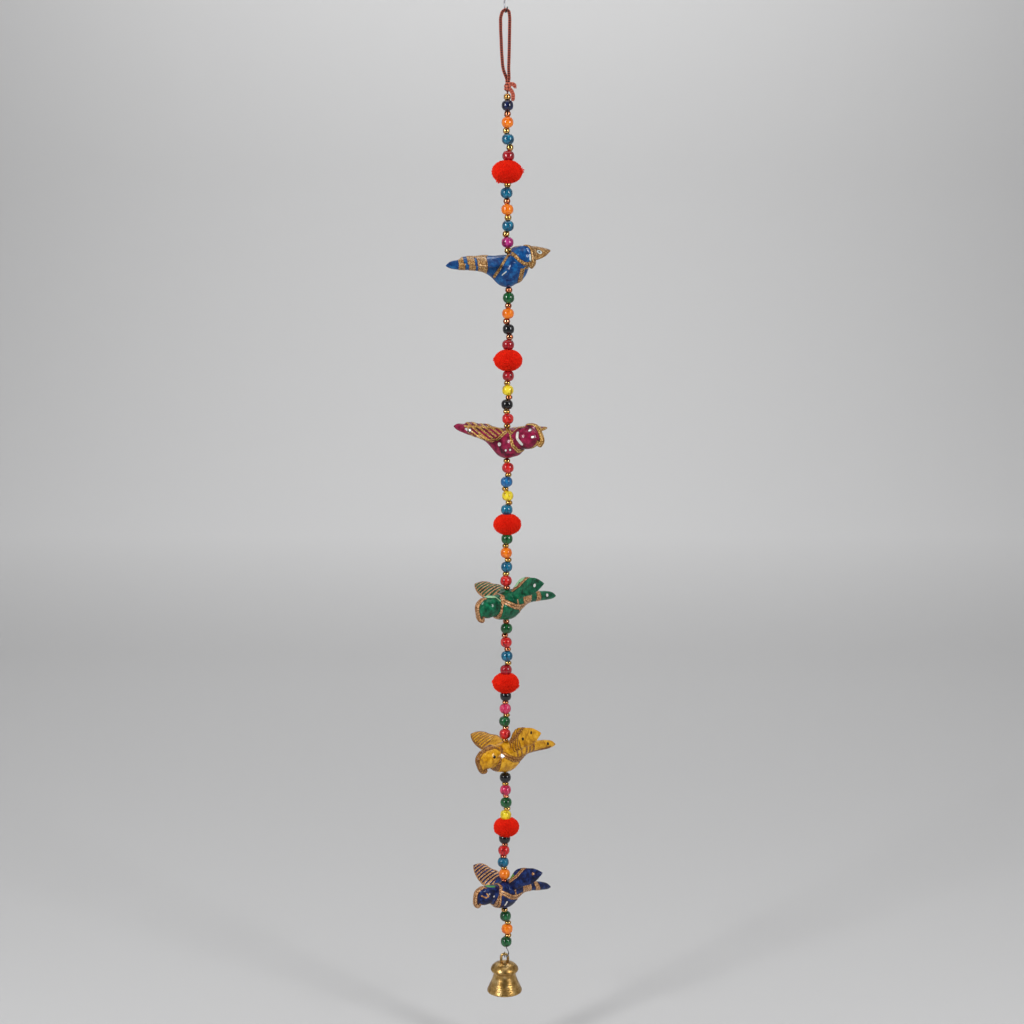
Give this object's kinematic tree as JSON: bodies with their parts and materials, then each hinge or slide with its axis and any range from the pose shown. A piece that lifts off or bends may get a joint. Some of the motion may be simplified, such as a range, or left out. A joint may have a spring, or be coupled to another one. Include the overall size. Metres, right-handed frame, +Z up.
{
  "type": "beaded string wall hanging with a wire hook",
  "caption": "Vertical string of round wooden beads, metallised spacers, red pompoms and painted birds, with a brass bell below, on a cord loop and wire hook.",
  "frame": {"origin": "top of the wire hook, where a nail or ring holds it", "axes": "+Z up along the hanging string, -Y towards the room, +X to the viewer's right"},
  "size_m": [0.1029, 0.0751, 0.9459],
  "materials": {
    "steel_wire": "bent wire, slightly tarnished",
    "braided_cord": "braided cotton cord",
    "metallised_spacers": "metallised beads on thread, bright",
    "pompom_yarn": "cut yarn pile",
    "cast_brass": "cast and turned, aged",
    "wood_black": "dyed, pearly lacquer",
    "wood_blue": "dyed, pearly lacquer",
    "wood_crimson": "dyed, pearly lacquer",
    "wood_green": "dyed, pearly lacquer",
    "wood_magenta": "dyed, pearly lacquer",
    "wood_navy": "dyed, pearly lacquer",
    "wood_orange": "dyed, pearly lacquer",
    "wood_pink": "dyed, pearly lacquer",
    "wood_red": "dyed, pearly lacquer",
    "wood_teal": "dyed, pearly lacquer",
    "wood_yellow": "dyed, pearly lacquer",
    "mache_azure": "papier mache, painted and lacquered, raised gold lines",
    "mache_plum": "papier mache, painted and lacquered, raised gold lines",
    "mache_emerald": "papier mache, painted and lacquered, raised gold lines",
    "mache_ochre": "papier mache, painted and lacquered, raised gold lines",
    "mache_indigo": "papier mache, painted and lacquered, raised gold lines"
  },
  "bodies": {
    "string": {"hook": "steel_wire", "hanging_loop": "braided_cord", "knot": "braided_cord", "strung_thread": "metallised_spacers", "wood_bead_01": "wood_navy", "wood_bead_02": "wood_orange", "wood_bead_03": "wood_teal", "wood_bead_04": "wood_crimson", "wood_bead_05": "wood_teal", "wood_bead_06": "wood_orange", "wood_bead_07": "wood_teal", "wood_bead_08": "wood_magenta", "wood_bead_09": "wood_green", "wood_bead_10": "wood_orange", "wood_bead_11": "wood_black", "wood_bead_12": "wood_crimson", "wood_bead_13": "wood_crimson", "wood_bead_14": "wood_yellow", "wood_bead_15": "wood_black", "wood_bead_16": "wood_red", "wood_bead_17": "wood_red", "wood_bead_18": "wood_blue", "wood_bead_19": "wood_yellow", "wood_bead_20": "wood_teal", "wood_bead_21": "wood_green", "wood_bead_22": "wood_orange", "wood_bead_23": "wood_teal", "wood_bead_24": "wood_red", "wood_bead_25": "wood_green", "wood_bead_26": "wood_red", "wood_bead_27": "wood_teal", "wood_bead_28": "wood_crimson", "wood_bead_29": "wood_black", "wood_bead_30": "wood_pink", "wood_bead_31": "wood_green", "wood_bead_32": "wood_red", "wood_bead_33": "wood_black", "wood_bead_34": "wood_pink", "wood_bead_35": "wood_green", "wood_bead_36": "wood_yellow", "wood_bead_37": "wood_black", "wood_bead_38": "wood_red", "wood_bead_39": "wood_teal", "wood_bead_40": "wood_orange", "wood_bead_41": "wood_green", "wood_bead_42": "wood_orange", "wood_bead_43": "wood_green", "pompom_1": "pompom_yarn", "pompom_2": "pompom_yarn", "pompom_3": "pompom_yarn", "pompom_4": "pompom_yarn", "pompom_5": "pompom_yarn", "bird_1": "mache_azure", "bird_2": "mache_plum", "bird_3": "mache_emerald", "bird_4": "mache_ochre", "bird_5": "mache_indigo", "wire_link": "steel_wire"},
    "bell": {"bell": "cast_brass"},
    "clapper": {"clapper": "cast_brass"}
  },
  "joints": [
    {"name": "bell_swing", "type": "hinge", "parent": "string", "child": "bell", "pos_m": [-0.0005, 0, -0.9115], "axis": [0, 1, 0], "range_deg": [-18, 18]},
    {"name": "clapper_swing", "type": "hinge", "parent": "bell", "child": "clapper", "pos_m": [-0.0005, 0, -0.9235], "axis": [0, 1, 0], "range_deg": [-12, 12]}
  ]
}
